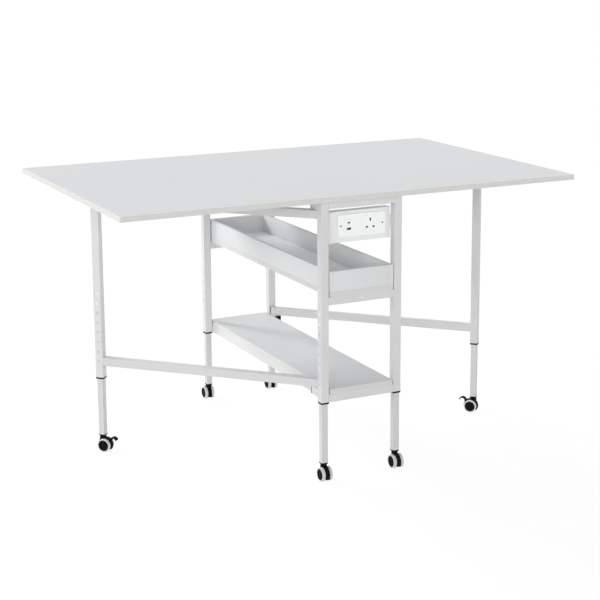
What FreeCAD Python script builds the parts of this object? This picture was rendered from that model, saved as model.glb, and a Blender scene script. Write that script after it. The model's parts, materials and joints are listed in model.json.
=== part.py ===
import FreeCAD, Part
import os
import re
import Sketcher
from FreeCAD import Placement, Rotation, Vector

# A drop-leaf cutting table on six height-adjustable legs with casters.
# Frame: origin on the floor at the centre of the table, X along the length,
# Y across the depth, Z up. The leaves are up and both gates are open.
# All lengths are millimetres and all angles are degrees.
DIMENSIONS = {
    # top
    "top_length": 1500, "top_depth": 945, "top_height": 867, "board_thick": 16,
    "centre_width": 356, "seam_gap": 0.5, "edge_break": 0.6,
    # square tubes of the frame and gates, and the plastic guides at their feet
    "tube_outer": 25, "tube_wall": 1.5, "leg_x": 122.5, "leg_y": 445, "leg_foot_z": 245,
    "collar_thick": 5, "collar_sleeve": 15, "slide_gap": 0.2, "plug_gap": 0.1,
    # height setting holes, and the screws in the top two of them
    "hole_first_z": 299, "hole_pitch": 31, "hole_radius": 3,
    "screw_head_radius": 4.6, "screw_head_thick": 1.6, "screw_shank_radius": 2.8,
    # rails and the screws in their end faces
    "rail_height": 24, "rail_depth": 25, "top_rail_height": 22, "side_rail": 24,
    "rail_screw_radius": 3.6, "top_screw_drop": 7, "tray_screw_drop": 10, "shelf_screw_drop": 9,
    "shelf_screw_x": 90,
    # tray and shelf
    "tray_z": 565.5, "tray_width": 214, "tray_wall_height": 61, "tray_wall_thick": 12,
    "shelf_z": 268, "inner_depth": 915,
    # gates
    "gate_radius": 723.5, "gate_open": 44.2, "gate_low_z": 285, "gate_high_z": 797,
    "gate_end": 11, "gate_plug_thick": 2, "post_cap_gap": 0.5, "post_cap_thick": 3, "post_cap_spigot": 12,
    # pivots
    "stub_length": 40, "stub_plug_thick": 4, "stub_spigot": 6, "stub_low_z": 258, "stub_high_z": 824,
    "bolt_radius": 4, "bolt_head_radius": 6.5, "bolt_head_thick": 2.5, "bolt_overlap": 0.4,
    "running_gap": 0.05, "head_gap": 0.3, "washer_radius": 10, "washer_thick": 1.8,
    # leaf hinges
    "hinge_width": 60, "hinge_reach": 28, "hinge_plate": 1.5, "hinge_plate_start": 3.6,
    "hinge_bridge": 6, "hinge_bridge_thick": 2.3, "hinge_bridge_gap": 0.2, "hinge_pin_radius": 1.5,
    "knuckle_radius": 3, "knuckle_gap": 0.4, "hinge_drop": 3.2, "hinge_spacing": 390,
    # socket box
    "socket_x_low": -98, "socket_x_high": 108.5, "socket_z": 721, "socket_height": 94,
    "socket_depth": 26, "socket_wall": 2, "ear_reach_x": 132, "ear_z": 751, "ear_height": 40,
    "window_side": 1, "window_edge": 6,
    "plate_x": 10.6, "plate_width": 161, "plate_height": 68, "plate_z": 736, "plate_thick": 4,
    "plate_screw_x": 69.5, "plate_screw_radius": 2.8, "plate_screw_thick": 0.8,
    # outlet and charging modules in the faceplate
    "module_gap": 0.2, "module_proud": 0.4, "module_depth": 20,
    "outlet_x": 28.5, "outlet_size": 50, "earth_rise": 13, "earth_width": 4.6, "earth_height": 9,
    "pin_offset": 11.1, "pin_drop": 9.2, "pin_width": 7.2, "pin_height": 4.6, "pin_depth": 14,
    "usb_x": -43, "usb_width": 32, "usb_height": 44, "port_rise": 9, "port_depth": 12,
    "port_high_width": 9, "port_high_height": 4.6, "port_low_width": 14, "port_low_height": 6.5,
    # feet
    "foot_outer": 20, "foot_wall": 1.5, "foot_bottom_z": 52, "foot_top_z": 504,
    "foot_plug_thick": 4, "foot_plug_depth": 24, "stem_radius": 5, "stem_reach": 18, "stem_root": 2,
    # casters, and which way each one trails at rest, counted from +X
    "wheel_radius": 21.5, "tyre_thick": 4, "tyre_inset": 0.4, "wheel_width": 10.9, "wheel_spacing": 23.7,
    "axle_radius": 3, "caster_trail": 8, "web_width": 11.6, "web_radius": 24.5, "web_floor_gap": 8,
    "wheel_clearance": 1.1, "boss_radius": 10, "boss_gap": 0.3, "neck_rise": 8,
    "hub_recess": 2, "hub_cap_radius": 13,
    "near_heading": -90, "far_heading": 90, "left_heading": -48, "right_heading": 132,
    # brake levers of the gate casters: an arched pad on a pin through the caster's eye
    "lever_x": 27, "lever_z": 39, "lever_pin_radius": 2, "lever_eye_radius": 3.4,
    "eye_arm_reach": 9, "eye_arm_rise": 0.5, "eye_clearance": 0.5,
    "pad_x": 37.5, "pad_z": 36, "pad_radius": 13, "pad_thick": 3, "pad_end_x": 48.5, "lever_width": 17,
    "cheek_width": 2.6, "cheek_gap": 0.3, "cheek_radius": 2.9,
    # how far a cutting shape runs past what it cuts, and a size larger than a caster
    "past": 1, "beyond": 60,
}

# Formulas over the sheet that several pieces share.
HALF_TUBE = "(tube_outer / 2)"
TOP_UNDERSIDE = "(top_height - board_thick)"
LEG_OUTER_Y = "(leg_y + tube_outer / 2)"
LEG_BACK_Y = "(leg_y - tube_outer / 2)"
PIVOT_Y = "(leg_y - tube_outer / 2 - stub_length / 2)"
BORE_RADIUS = "(bolt_radius + running_gap)"
PIVOT_GAP = "(gate_low_z - stub_low_z - tube_outer)"
HALF_WEB = "(web_width / 2)"
WHEEL_TOP = "(2 * wheel_radius + wheel_clearance)"

SIDES = (-1, 1)
SAME_PLACE = 0.001
HOLE_COUNT = 8
SCREWED_HOLES = (6, 7)
HINGES_PER_SEAM = 3
# Each centre leg: its name and the signs of its X and Y.
CENTRE_LEGS = (("near_left", -1, -1), ("near_right", 1, -1), ("far_left", -1, 1), ("far_right", 1, 1))
# Each gate: its name, the sign of its side, and the half turn that the right one needs.
GATES = (("left", -1, 0), ("right", 1, 180))

doc = FreeCAD.newDocument("CuttingTable")
sheet = doc.addObject("Spreadsheet::Sheet", "Dims")
nodes = []


def fill_sheet():
    for row, (alias, value) in enumerate(DIMENSIONS.items(), start=1):
        sheet.set(f"A{row}", alias)
        sheet.set(f"B{row}", str(value))
        sheet.setAlias(f"B{row}", alias)
    doc.recompute()


def linked(formula):
    """Turn the aliases in a formula into references to the sheet."""
    def reference(match):
        word = match.group()
        return f"Dims.{word}" if word in DIMENSIONS else word
    return re.sub(r"[a-z_][a-z_0-9]*", reference, formula)


def bind(thing, **formulas):
    for name, formula in formulas.items():
        thing.setExpression(name, linked(formula))


def place(thing, position=("0", "0", "0"), turn="0", axis=(0, 0, 1)):
    """Move a piece to a position, turned about an axis through its own origin."""
    thing.Placement = Placement(Vector(), Rotation(Vector(*axis), 1))
    for letter, formula in zip("xyz", position):
        thing.setExpression(f"Placement.Base.{letter}", linked(formula))
    thing.setExpression("Placement.Rotation.Angle", linked(f"({turn}) * 1 deg"))
    return thing


def node(thing, name):
    """Make a piece one of the named sub-parts."""
    thing.Label = name
    nodes.append(thing)
    return thing


def ordered(sign, near, far, middle="0"):
    """Both ends, lowest first, of a span measured from the middle towards one side."""
    ends = (f"{middle} + {sign} * ({near})", f"{middle} + {sign} * ({far})")
    return ends if sign > 0 else ends[::-1]


def box(name, low, high):
    """A block between two opposite corners."""
    block = doc.addObject("Part::Box", name)
    sizes = [f"({top}) - ({bottom})" for bottom, top in zip(low, high)]
    bind(block, Length=sizes[0], Width=sizes[1], Height=sizes[2])
    return place(block, low)


AXIS_TURNS = {"x": ((0, 1, 0), "90"), "y": ((1, 0, 0), "-90"), "z": ((0, 0, 1), "0")}


def cylinder(name, radius, start, length, along="z"):
    """A cylinder that starts at a point and runs along one axis."""
    rod = doc.addObject("Part::Cylinder", name)
    bind(rod, Radius=radius, Height=length)
    axis, turn = AXIS_TURNS[along]
    return place(rod, start, turn, axis)


def cut(name, base, tool):
    result = doc.addObject("Part::Cut", name)
    result.Base = base
    result.Tool = tool
    return result


def common(name, base, tool):
    result = doc.addObject("Part::Common", name)
    result.Base = base
    result.Tool = tool
    return result


def fuse(name, pieces):
    result = doc.addObject("Part::MultiFuse", name)
    result.Shapes = pieces
    return result


def group(name, pieces):
    result = doc.addObject("Part::Compound", name)
    result.Links = pieces
    return result


def tube(name, low, high, along, wall="tube_wall"):
    """A square or rectangular tube, open at both ends along one axis."""
    outer = box(f"{name}_outer", low, high)
    inside_low = []
    inside_high = []
    for letter, bottom, top in zip("xyz", low, high):
        inset = "0" if letter == along else wall
        inside_low.append(f"({bottom}) + {inset}")
        inside_high.append(f"({top}) - {inset}")
    inner = box(f"{name}_inner", inside_low, inside_high)
    return cut(name, outer, inner)


def square(half, bottom, top, x="0", y="0"):
    """Corners of an upright square block about the vertical line at x, y."""
    low = (f"{x} - {half}", f"{y} - {half}", bottom)
    high = (f"{x} + {half}", f"{y} + {half}", top)
    return low, high


def plane_of(body, role):
    return next(item for item in body.Origin.OriginFeatures if item.Role == role)


def rectangle_sketch(body, name, width, depth):
    """A rectangle on the body's XY plane, from its origin to width and depth."""
    sketch = body.newObject("Sketcher::SketchObject", name)
    sketch.AttachmentSupport = [(plane_of(body, "XY_Plane"), "")]
    sketch.MapMode = "FlatFace"
    corners = (Vector(0, 0), Vector(100, 0), Vector(100, 50), Vector(0, 50))
    for start, end in zip(corners, corners[1:] + corners[:1]):
        sketch.addGeometry(Part.LineSegment(start, end))
    for line in range(4):
        sketch.addConstraint(Sketcher.Constraint("Coincident", line, 2, (line + 1) % 4, 1))
    for line, kind in enumerate(("Horizontal", "Vertical", "Horizontal", "Vertical")):
        sketch.addConstraint(Sketcher.Constraint(kind, line))
    sketch.addConstraint(Sketcher.Constraint("Coincident", 0, 1, -1, 1))
    for kind, label, line, formula in (("DistanceX", "width", 0, width), ("DistanceY", "depth", 1, depth)):
        index = sketch.addConstraint(Sketcher.Constraint(kind, line, 1, line, 2, 50.0))
        sketch.renameConstraint(index, label)
        sketch.setExpression(f"Constraints.{label}", linked(formula))
    return sketch


def free_edges(shape, seam_sides):
    """Names of a board's edges, without those that bound a face at a seam (-1 low X, 1 high X)."""
    seams = {-1: shape.BoundBox.XMin, 1: shape.BoundBox.XMax}
    names = []
    for number, edge in enumerate(shape.Edges, start=1):
        ends = [vertex.X for vertex in edge.Vertexes]
        at_seam = any(all(abs(x - seams[side]) < SAME_PLACE for x in ends) for side in seam_sides)
        if not at_seam:
            names.append(f"Edge{number}")
    return names


def board(name, low, width, depth, seam_sides=()):
    """A flat board, its free edges slightly broken, as a sketched and padded body."""
    body = doc.addObject("PartDesign::Body", name)
    pad = body.newObject("PartDesign::Pad", f"{name}_pad")
    pad.Profile = rectangle_sketch(body, f"{name}_outline", width, depth)
    bind(pad, Length="board_thick")
    doc.recompute()
    chamfer = body.newObject("PartDesign::Chamfer", f"{name}_edges")
    chamfer.Base = (pad, free_edges(pad.Shape, seam_sides))
    bind(chamfer, Size="edge_break")
    body.Tip = chamfer
    return node(place(body, low), name)


# ---------------------------------------------------------------- top

def build_top():
    front = "-top_depth / 2"
    leaf_width = "top_length / 2 - centre_width / 2 - seam_gap"
    right_start = "centre_width / 2 + seam_gap"
    board("centre_panel", ("-centre_width / 2", front, TOP_UNDERSIDE), "centre_width", "top_depth", (-1, 1))
    board("leaf_left_panel", ("-top_length / 2", front, TOP_UNDERSIDE), leaf_width, "top_depth", (1,))
    board("leaf_right_panel", (right_start, front, TOP_UNDERSIDE), leaf_width, "top_depth", (-1,))


def hinge_half(name, seam, direction, middle_y, knuckles):
    """One plate of a butt hinge under a seam, with its knuckles bridged to it.

    seam is -1 or 1, direction is the side of the hinge line that the plate lies on,
    and knuckles holds the start and length of each knuckle along Y.
    """
    axis_x = f"{seam} * (centre_width / 2 + seam_gap / 2)"
    axis_z = f"{TOP_UNDERSIDE} - hinge_drop"
    plate_x = ordered(direction, "hinge_plate_start", "hinge_reach", axis_x)
    bridge_x = ordered(direction, "0", "hinge_bridge", axis_x)
    bridge_top = f"{TOP_UNDERSIDE} - hinge_bridge_gap"
    plate_low = (plate_x[0], f"{middle_y} - hinge_width / 2", f"{TOP_UNDERSIDE} - hinge_plate")
    plate_high = (plate_x[1], f"{middle_y} + hinge_width / 2", TOP_UNDERSIDE)
    pieces = [box(f"{name}_plate", plate_low, plate_high)]
    for number, (start, length) in enumerate(knuckles):
        label = f"{name}_knuckle_{number}"
        pieces.append(cylinder(label, "knuckle_radius", (axis_x, start, axis_z), length, "y"))
        pieces.append(box(f"{label}_bridge", (bridge_x[0], start, f"{bridge_top} - hinge_bridge_thick"),
                          (bridge_x[1], f"{start} + {length}", bridge_top)))
    bore_start = (axis_x, f"{middle_y} - hinge_width / 2 - past", axis_z)
    bore = cylinder(f"{name}_bore", "hinge_pin_radius + running_gap", bore_start,
                    "hinge_width + 2 * past", "y")
    return cut(name, fuse(f"{name}_solid", pieces), bore)


def build_hinges():
    """Three butt hinges under each seam; their pins stay with the frame's plates."""
    fixed = []
    quarter = "(hinge_width / 4 - knuckle_gap / 2)"
    for seam, word in zip(SIDES, ("left", "right")):
        moving = []
        for number in range(HINGES_PER_SEAM):
            middle_y = f"{number - 1} * hinge_spacing"
            label = f"hinge_{word}_{number}"
            outer_knuckles = ((f"{middle_y} - hinge_width / 2", quarter),
                              (f"{middle_y} + hinge_width / 4 + knuckle_gap / 2", quarter))
            inner_knuckle = ((f"{middle_y} - {quarter}", f"2 * {quarter}"),)
            fixed.append(hinge_half(f"{label}_fixed", seam, -seam, middle_y, outer_knuckles))
            moving.append(hinge_half(f"{label}_moving", seam, seam, middle_y, inner_knuckle))
            pin_start = (f"{seam} * (centre_width / 2 + seam_gap / 2)", f"{middle_y} - hinge_width / 2",
                         f"{TOP_UNDERSIDE} - hinge_drop")
            fixed.append(cylinder(f"{label}_pin", "hinge_pin_radius", pin_start, "hinge_width", "y"))
        node(group(f"leaf_{word}_hinges", moving), f"leaf_{word}_hinges")
    node(group("frame_hinges", fixed), "frame_hinges")


# ---------------------------------------------------------------- frame

def hole_z(number):
    return f"hole_first_z + {number} * hole_pitch"


def drilled_tube(name, face, x="0", y="0", top=TOP_UNDERSIDE):
    """An upright tube with a column of height setting holes in one X face."""
    low, high = square(HALF_TUBE, "leg_foot_z", top, x, y)
    start_x, end_x = ordered(face, f"{HALF_TUBE} - tube_wall - past", f"{HALF_TUBE} + past", x)
    drills = []
    for number in range(HOLE_COUNT):
        drills.append(cylinder(f"{name}_drill_{number}", "hole_radius", (start_x, y, hole_z(number)),
                               f"({end_x}) - ({start_x})", "x"))
    return cut(name, tube(f"{name}_hollow", low, high, "z"), group(f"{name}_drills", drills))


def collar(name, x="0", y="0"):
    """Plastic guide at the bottom of an outer tube: a flange and a thin sleeve inside."""
    flange_low = "leg_foot_z - collar_thick"
    sleeve_high = "leg_foot_z + collar_sleeve"
    flange = box(f"{name}_flange", *square(HALF_TUBE, flange_low, "leg_foot_z", x, y))
    sleeve_half = "(tube_outer / 2 - tube_wall - plug_gap)"
    sleeve = box(f"{name}_sleeve", *square(sleeve_half, "leg_foot_z", sleeve_high, x, y))
    way_half = "(foot_outer / 2 + slide_gap)"
    way = box(f"{name}_way", *square(way_half, f"{flange_low} - past", f"{sleeve_high} + past", x, y))
    return cut(name, fuse(f"{name}_solid", [flange, sleeve]), way)


def button_screw(name, face, z, x="0", y="0"):
    """A round-headed screw in an X face; its shank ends inside the outer tube's wall."""
    head_start = ordered(face, HALF_TUBE, f"{HALF_TUBE} + screw_head_thick", x)[0]
    shank_start = ordered(face, f"{HALF_TUBE} - tube_wall", HALF_TUBE, x)[0]
    head = cylinder(f"{name}_head", "screw_head_radius", (head_start, y, z), "screw_head_thick", "x")
    shank = cylinder(f"{name}_shank", "screw_shank_radius", (shank_start, y, z), "tube_wall", "x")
    return fuse(name, [head, shank])


def build_legs():
    legs = []
    collars = []
    screws = []
    for name, sx, sy in CENTRE_LEGS:
        x = f"{sx} * leg_x"
        y = f"{sy} * leg_y"
        legs.append(drilled_tube(f"leg_{name}", sx, x, y))
        collars.append(collar(f"collar_{name}", x, y))
        for number in SCREWED_HOLES:
            screws.append(button_screw(f"setting_{name}_{number}", sx, hole_z(number), x, y))
    node(group("frame_legs", legs), "frame_legs")
    node(group("leg_collars", collars), "leg_collars")
    node(group("height_screws", screws), "height_screws")


def end_rail(name, sy, z_low, z_high):
    """A rail between the two legs of one end, flush with their outer faces."""
    y_low, y_high = ordered(sy, f"{LEG_OUTER_Y} - rail_depth", LEG_OUTER_Y)
    return tube(name, (f"-leg_x + {HALF_TUBE}", y_low, z_low), (f"leg_x - {HALF_TUBE}", y_high, z_high), "x")


def build_rails():
    top = []
    cross = []
    for sy, word in zip(SIDES, ("near", "far")):
        top.append(end_rail(f"top_rail_{word}", sy, f"{TOP_UNDERSIDE} - top_rail_height", TOP_UNDERSIDE))
        for level in ("tray_z", "shelf_z"):
            cross.append(end_rail(f"{level}_rail_{word}", sy, f"{level} - rail_height", level))
    node(group("top_end_rails", top), "top_end_rails")
    node(group("cross_rails", cross), "cross_rails")

    side = []
    reach = f"({LEG_OUTER_Y} - rail_depth)"
    for sx, word in zip(SIDES, ("left", "right")):
        x_low, x_high = ordered(sx, "tray_width / 2 - side_rail", "tray_width / 2")
        for level, label in ((TOP_UNDERSIDE, "top"), ("shelf_z", "shelf")):
            side.append(tube(f"side_rail_{label}_{word}", (x_low, f"-{reach}", f"{level} - side_rail"),
                             (x_high, reach, level), "y"))
    node(group("side_rails", side), "side_rails")


def end_face_screw(name, sy, x, z, radius, face_y, thick="screw_head_thick"):
    """A pan head on a face that looks along Y."""
    start = ordered(sy, face_y, f"{face_y} + {thick}")[0]
    return cylinder(name, radius, (x, start, z), thick, "y")


def build_rail_screws():
    """One screw in each top and tray rail, and two in each shelf rail."""
    shelf_screw_z = "shelf_z - shelf_screw_drop"
    spots = (("0", f"{TOP_UNDERSIDE} - top_screw_drop"), ("0", "tray_z - tray_screw_drop"),
             ("-shelf_screw_x", shelf_screw_z), ("shelf_screw_x", shelf_screw_z))
    screws = []
    for sy, word in zip(SIDES, ("near", "far")):
        for number, (x, z) in enumerate(spots):
            label = f"rail_screw_{word}_{number}"
            screws.append(end_face_screw(label, sy, x, z, "rail_screw_radius", LEG_OUTER_Y))
    node(group("rail_screws", screws), "rail_screws")


def build_tray():
    half_width = "tray_width / 2"
    half_depth = "inner_depth / 2"
    inner_end = f"({half_depth} - tray_wall_thick)"
    board("tray_base", (f"-{half_width}", f"-{half_depth}", "tray_z"), "tray_width", "inner_depth")
    wall_low = "tray_z + board_thick"
    wall_high = f"{wall_low} + tray_wall_height"
    walls = []
    for sign, side_word, end_word in zip(SIDES, ("left", "right"), ("near", "far")):
        x_low, x_high = ordered(sign, f"{half_width} - tray_wall_thick", half_width)
        walls.append(box(f"tray_wall_{side_word}", (x_low, f"-{inner_end}", wall_low),
                         (x_high, inner_end, wall_high)))
        y_low, y_high = ordered(sign, inner_end, half_depth)
        walls.append(box(f"tray_wall_{end_word}", (f"-{half_width}", y_low, wall_low),
                         (half_width, y_high, wall_high)))
    node(group("tray_walls", walls), "tray_walls")


def build_shelf():
    board("shelf_board", ("-tray_width / 2", "-inner_depth / 2", "shelf_z"), "tray_width", "inner_depth")


# ---------------------------------------------------------------- gate pivots

def stub_and_plug(name, side, z_low, z_high, pivot_y):
    """A short tube behind a leg, bored for the pivot bolt, and the plug in its free end."""
    x = f"{side} * leg_x"
    free_end = f"{LEG_BACK_Y} - stub_length"
    y_low, y_high = ordered(side, free_end, LEG_BACK_Y)
    hollow = tube(f"{name}_tube", (f"{x} - {HALF_TUBE}", y_low, z_low),
                  (f"{x} + {HALF_TUBE}", y_high, z_high), "y")
    bore = cylinder(f"{name}_bore", BORE_RADIUS, (x, pivot_y, f"{z_low} - past"), "tube_outer + 2 * past")

    flange_low, flange_high = ordered(side, f"{free_end} - stub_plug_thick", free_end)
    flange = box(f"{name}_flange", (f"{x} - {HALF_TUBE}", flange_low, z_low),
                 (f"{x} + {HALF_TUBE}", flange_high, z_high))
    spigot_low, spigot_high = ordered(side, free_end, f"{free_end} + stub_spigot")
    inset = "(tube_wall + plug_gap)"
    spigot = box(f"{name}_spigot", (f"{x} - {HALF_TUBE} + {inset}", spigot_low, f"{z_low} + {inset}"),
                 (f"{x} + {HALF_TUBE} - {inset}", spigot_high, f"{z_high} - {inset}"))
    return cut(name, hollow, bore), fuse(f"{name}_plug", [flange, spigot])


def bolt_and_washer(name, x, pivot_y, shank_low, head_levels, washer_low):
    """A bolt through the stub and the gate's rail, and a washer between them."""
    shank = cylinder(f"{name}_shank", "bolt_radius", (x, pivot_y, f"({shank_low}) - bolt_overlap"),
                     f"2 * tube_outer + {PIVOT_GAP} + 2 * bolt_overlap")
    heads = [cylinder(f"{name}_head_{number}", "bolt_head_radius", (x, pivot_y, level), "bolt_head_thick")
             for number, level in enumerate(head_levels)]
    disc = cylinder(f"{name}_disc", "washer_radius", (x, pivot_y, washer_low), "washer_thick")
    eye = cylinder(f"{name}_eye", BORE_RADIUS, (x, pivot_y, f"{washer_low} - past"),
                   "washer_thick + 2 * past")
    return fuse(f"{name}_bolt", [shank] + heads), cut(f"{name}_washer", disc, eye)


def pivot_set(name, side, z_low, gate_above):
    """Everything of one gate pivot that stays with the frame."""
    z_high = f"{z_low} + tube_outer"
    pivot_y = f"{side} * {PIVOT_Y}"
    if gate_above:
        shank_low = z_low
        washer_low = z_high
        head_levels = (f"{z_low} - bolt_head_thick", f"{z_high} + {PIVOT_GAP} + tube_outer + head_gap")
    else:
        shank_low = f"{z_low} - {PIVOT_GAP} - tube_outer"
        washer_low = f"{z_low} - washer_thick"
        head_levels = (f"{shank_low} - bolt_head_thick - head_gap", f"{z_high} - tube_wall - bolt_head_thick")
    stub, plug = stub_and_plug(name, side, z_low, z_high, pivot_y)
    bolt, washer = bolt_and_washer(name, f"{side} * leg_x", pivot_y, shank_low, head_levels, washer_low)
    return stub, plug, bolt, washer


def build_pivots():
    sets = []
    for side, word in zip(SIDES, ("left", "right")):
        sets.append(pivot_set(f"pivot_low_{word}", side, "stub_low_z", True))
        sets.append(pivot_set(f"pivot_high_{word}", side, "stub_high_z", False))
    for name, pieces in zip(("pivot_stubs", "stub_plugs", "pivot_bolts", "pivot_washers"), zip(*sets)):
        node(group(name, list(pieces)), name)


# ---------------------------------------------------------------- socket box

FRONT_Y = f"(-{LEG_BACK_Y})"
PLATE_MIDDLE = "(plate_z + plate_height / 2)"


def build_housing():
    """A thin case, the front panel with a window behind the faceplate, and an ear behind each leg."""
    rear_y = f"{FRONT_Y} + socket_depth"
    panel_y = f"{FRONT_Y} + socket_wall"
    top_z = "socket_z + socket_height"
    shell = box("case_shell", ("socket_x_low", panel_y, "socket_z"), ("socket_x_high", rear_y, top_z))
    room = box("case_room", ("socket_x_low + socket_wall", f"{FRONT_Y} - past", "socket_z + socket_wall"),
               ("socket_x_high - socket_wall", f"{rear_y} - socket_wall", f"{top_z} - socket_wall"))
    panel = box("panel_sheet", ("socket_x_low", FRONT_Y, "socket_z"), ("socket_x_high", panel_y, top_z))
    window_left = "plate_x + usb_x - usb_width / 2 - window_side"
    window_right = "plate_x + outlet_x + outlet_size / 2 + window_side"
    window = box("panel_window", (window_left, f"{FRONT_Y} - past", "plate_z + window_edge"),
                 (window_right, f"{panel_y} + past", "plate_z + plate_height - window_edge"))
    pieces = [cut("socket_case", shell, room), cut("front_panel", panel, window)]
    for word, x_low, x_high in (("left", "-ear_reach_x", "socket_x_low"),
                                ("right", "socket_x_high", "ear_reach_x")):
        pieces.append(box(f"ear_{word}", (x_low, FRONT_Y, "ear_z"), (x_high, panel_y, "ear_z + ear_height")))
    node(group("socket_housing", pieces), "socket_housing")


def slot(name, x, z, width, height, depth):
    """The space of a rectangular slot that runs right through a module's front."""
    face = f"{FRONT_Y} - plate_thick"
    return box(name, (f"{x} - {width} / 2", f"{face} - module_proud - past", f"{z} - {height} / 2"),
               (f"{x} + {width} / 2", f"{face} + {depth} + past", f"{z} + {height} / 2"))


def outlet_slots(x):
    """Three pin slots: earth above, the other two side by side below."""
    slots = [slot("slot_earth", x, f"{PLATE_MIDDLE} + earth_rise",
                  "earth_width", "earth_height", "pin_depth")]
    for side, word in zip(SIDES, ("live", "neutral")):
        slots.append(slot(f"slot_{word}", f"{x} + {side} * pin_offset", f"{PLATE_MIDDLE} - pin_drop",
                          "pin_width", "pin_height", "pin_depth"))
    return slots


def charging_slots(x):
    """A wide port below and a smaller one above it."""
    return [slot(f"slot_charging_{word}", x, f"{PLATE_MIDDLE} + {side} * port_rise",
                 f"port_{word}_width", f"port_{word}_height", "port_depth")
            for side, word in zip(SIDES, ("low", "high"))]


def module(name, x, width, height, slots, depth):
    """A slotted front, the solid back behind it, and the hole in the faceplate that they sit in."""
    low_x = f"{x} - {width} / 2"
    high_x = f"{x} + {width} / 2"
    low_z = f"{PLATE_MIDDLE} - {height} / 2"
    high_z = f"{PLATE_MIDDLE} + {height} / 2"
    face = f"{FRONT_Y} - plate_thick"
    joint_y = f"{face} + {depth}"
    hole = box(f"{name}_hole", (low_x, f"{face} - past", low_z), (high_x, f"{FRONT_Y} + past", high_z))
    inner_low = (f"{low_x} + module_gap", f"{low_z} + module_gap")
    inner_high = (f"{high_x} - module_gap", f"{high_z} - module_gap")
    block = box(f"{name}_block", (inner_low[0], f"{face} - module_proud", inner_low[1]),
                (inner_high[0], joint_y, inner_high[1]))
    back = box(f"{name}_back", (inner_low[0], joint_y, inner_low[1]),
               (inner_high[0], f"{FRONT_Y} + module_depth", inner_high[1]))
    return cut(f"{name}_front", block, group(f"{name}_slots", slots)), back, hole


def build_faceplate():
    outlet_x = "plate_x + outlet_x"
    charger_x = "plate_x + usb_x"
    outlet, outlet_back, outlet_hole = module("outlet", outlet_x, "outlet_size", "outlet_size",
                                              outlet_slots(outlet_x), "pin_depth")
    charger, charger_back, charger_hole = module("charger", charger_x, "usb_width", "usb_height",
                                                 charging_slots(charger_x), "port_depth")
    plate = box("plate_block", ("plate_x - plate_width / 2", f"{FRONT_Y} - plate_thick", "plate_z"),
                ("plate_x + plate_width / 2", FRONT_Y, "plate_z + plate_height"))
    plate_holes = group("plate_holes", [outlet_hole, charger_hole])
    node(cut("socket_faceplate", plate, plate_holes), "socket_faceplate")
    node(outlet, "outlet_front")
    node(charger, "charger_front")
    node(group("module_backs", [outlet_back, charger_back]), "module_backs")

    screws = []
    for side, word in zip(SIDES, ("left", "right")):
        x = f"plate_x + {side} * plate_screw_x"
        screws.append(end_face_screw(f"plate_screw_{word}", -1, x, PLATE_MIDDLE, "plate_screw_radius",
                                     f"{LEG_BACK_Y} + plate_thick", "plate_screw_thick"))
    node(group("faceplate_screws", screws), "faceplate_screws")


# ---------------------------------------------------------------- gates

def build_gate(word, side, half_turn):
    """A gate in its own frame: pivot at the origin, arm along +Y, drilled face towards -X."""
    name = f"gate_{word}"
    cap_top = f"({TOP_UNDERSIDE} - post_cap_gap)"
    post_top = f"({cap_top} - post_cap_thick)"
    spigot_half = "(tube_outer / 2 - tube_wall - plug_gap)"
    cap_flange = box(f"{name}_cap_flange", *square(HALF_TUBE, post_top, cap_top, "0", "gate_radius"))
    cap_spigot = box(f"{name}_cap_spigot",
                     *square(spigot_half, f"{post_top} - post_cap_spigot", post_top, "0", "gate_radius"))
    caps = [collar(f"{name}_collar", "0", "gate_radius"), fuse(f"{name}_cap", [cap_flange, cap_spigot])]

    rails = []
    for level in ("gate_low_z", "gate_high_z"):
        label = f"{name}_{level}"
        low = (f"-{HALF_TUBE}", "-gate_end", level)
        high = (HALF_TUBE, f"gate_radius - {HALF_TUBE}", f"{level} + tube_outer")
        bore = cylinder(f"{label}_bore", BORE_RADIUS, ("0", "0", f"{level} - past"), "tube_outer + 2 * past")
        rails.append(cut(label, tube(f"{label}_tube", low, high, "y"), bore))
        caps.append(box(f"{label}_plug", (f"-{HALF_TUBE}", "-gate_end - gate_plug_thick", level),
                        (HALF_TUBE, "-gate_end", f"{level} + tube_outer")))
    screws = [button_screw(f"{name}_setting_{number}", -1, hole_z(number), "0", "gate_radius")
              for number in SCREWED_HOLES]

    where = (f"{side} * leg_x", f"{side} * {PIVOT_Y}", "0")
    turn = f"gate_open + {half_turn}"
    pieces = {"post": drilled_tube(f"{name}_post", -1, "0", "gate_radius", post_top),
              "rails": group(f"{name}_rails", rails),
              "caps": group(f"{name}_caps", caps),
              "screws": group(f"{name}_screws", screws)}
    for kind, piece in pieces.items():
        node(place(piece, where, turn), f"{name}_{kind}")


# ---------------------------------------------------------------- feet and casters

def build_foot(name, where, turn):
    """An inner tube with the plug that holds the caster stem, about its own vertical axis."""
    plug_top = "foot_bottom_z + foot_plug_thick"
    hollow = tube(f"foot_{name}_tube", *square("(foot_outer / 2)", plug_top, "foot_top_z"), "z", "foot_wall")
    flange = box(f"foot_{name}_flange", *square("(foot_outer / 2)", "foot_bottom_z", plug_top))
    spigot = box(f"foot_{name}_spigot", *square("(foot_outer / 2 - foot_wall - plug_gap)", plug_top,
                                                f"{plug_top} + foot_plug_depth"))
    bore = cylinder(f"foot_{name}_bore", "stem_radius + running_gap", ("0", "0", "foot_bottom_z - past"),
                    "stem_reach + 2 * past")
    plug = cut(f"foot_{name}_plug", fuse(f"foot_{name}_plug_solid", [flange, spigot]), bore)
    node(place(hollow, where, turn), f"foot_{name}_tube")
    node(place(plug, where, turn), f"foot_{name}_plug")


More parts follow.
